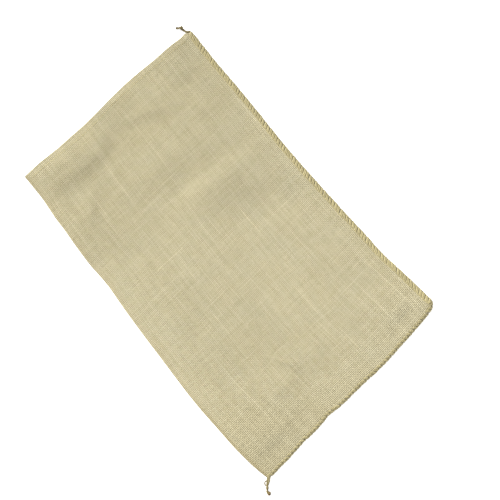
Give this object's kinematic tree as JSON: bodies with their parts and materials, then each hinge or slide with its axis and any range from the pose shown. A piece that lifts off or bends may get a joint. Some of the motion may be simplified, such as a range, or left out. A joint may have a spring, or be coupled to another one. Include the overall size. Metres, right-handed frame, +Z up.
{
  "type": "jute sack",
  "caption": "Empty flat sack of plain-woven jute, folded down one long side, overhead-sewn down the other and along the bottom, open at the hemmed mouth.",
  "frame": {"origin": "on the surface, under the middle of the sack's box (yarn tails left out)", "axes": "+X across the sack from the fold to the side seam, +Y along it from the sewn bottom to the open mouth, +Z up from the surface it lies on"},
  "size_m": [0.5218, 0.9252, 0.0114],
  "materials": {
    "jute_cloth": "undyed plain-woven jute, matt and slightly hairy, with slubs in both directions",
    "jute_yarn": "coarse twisted jute seam yarn, matt, a little yellower than the cloth"
  },
  "bodies": {
    "root": {"sack_cloth": "jute_cloth", "edge_seam": "jute_yarn", "mouth_tail": "jute_yarn", "bottom_tail": "jute_yarn"}
  },
  "joints": []
}
